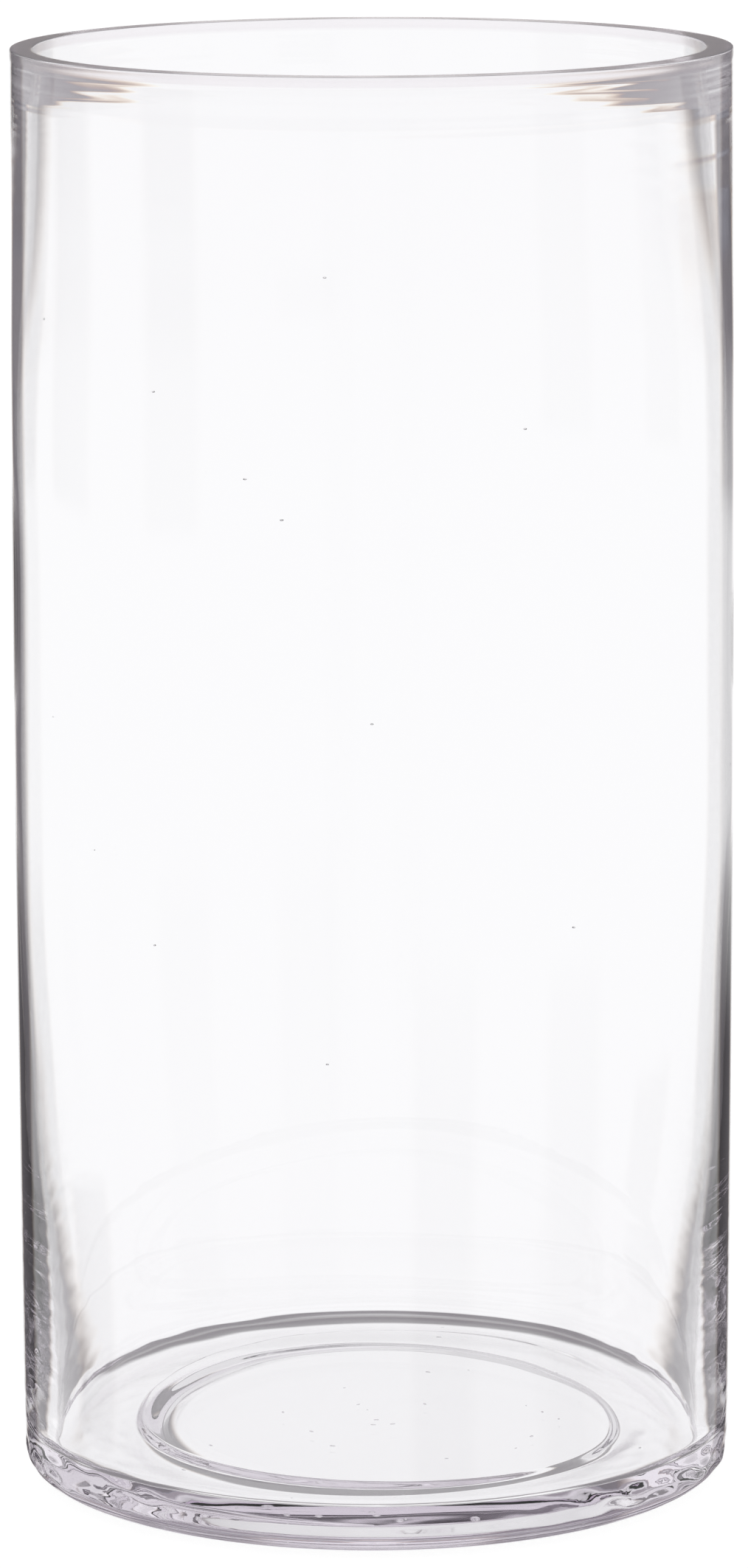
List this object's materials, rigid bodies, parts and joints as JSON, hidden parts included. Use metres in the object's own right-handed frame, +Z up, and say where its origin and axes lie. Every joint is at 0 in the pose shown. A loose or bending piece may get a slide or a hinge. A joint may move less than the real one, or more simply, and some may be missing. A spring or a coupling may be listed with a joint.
{
  "type": "cylinder vase",
  "caption": "Straight round vase of clear glass with a thick base, a shallow hollow under it, a rounded heel and a flat ground rim.",
  "frame": {"origin": "centre of the standing plane, on the axis of the vase", "axes": "+Z up along the axis of the vase, from the standing ring to the mouth; the vase is round, so +X and +Y are free"},
  "size_m": [0.152, 0.152, 0.305],
  "materials": {
    "clear_glass": "fire-polished clear glass, ground and polished flat at the rim"
  },
  "bodies": {
    "root": {"glass_body": "clear_glass"}
  },
  "joints": []
}
